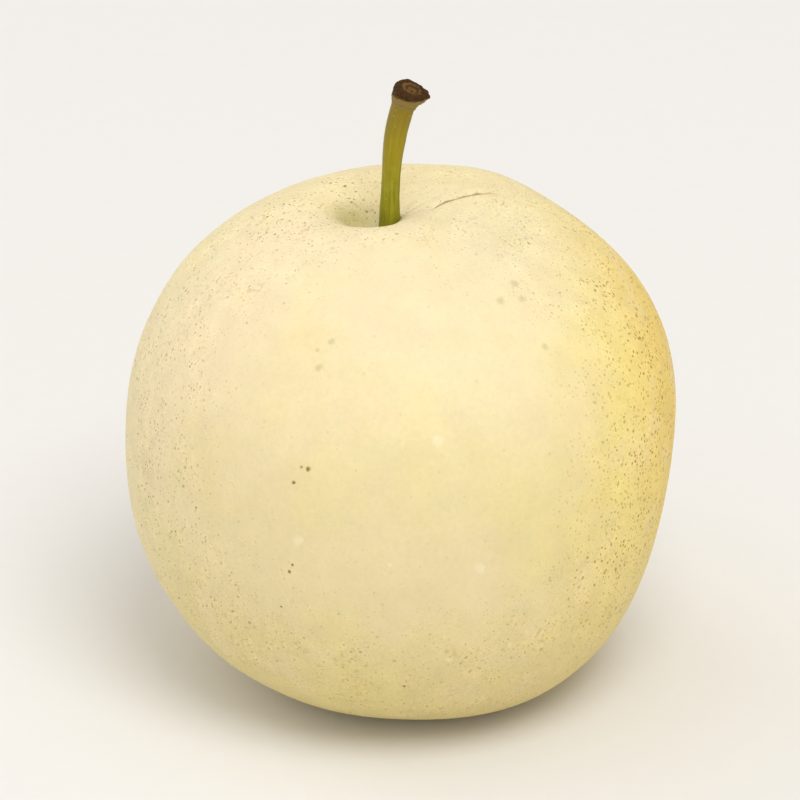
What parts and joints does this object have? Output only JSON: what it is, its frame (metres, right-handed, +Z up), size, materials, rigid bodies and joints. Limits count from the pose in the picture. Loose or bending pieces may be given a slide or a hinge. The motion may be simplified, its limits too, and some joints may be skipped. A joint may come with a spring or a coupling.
{
  "type": "nashi pear",
  "caption": "Round pale-yellow nashi pear standing on its base, with a bent green stem set off-centre in a small cavity and a shallow calyx basin beneath.",
  "frame": {"origin": "under the middle of the pear, on the surface it rests on", "axes": "+Z up from the base to the stem, -Y the side seen in the picture, +X to that view's right"},
  "size_m": [0.086, 0.0858, 0.1011],
  "materials": {
    "skin": "satin waxy fruit skin, pale cream-yellow with fine grey-brown dots",
    "stem": "matte olive-green bark with a dark brown corky end"
  },
  "bodies": {
    "root": {"fruit": "skin", "stem": "stem"}
  },
  "joints": []
}
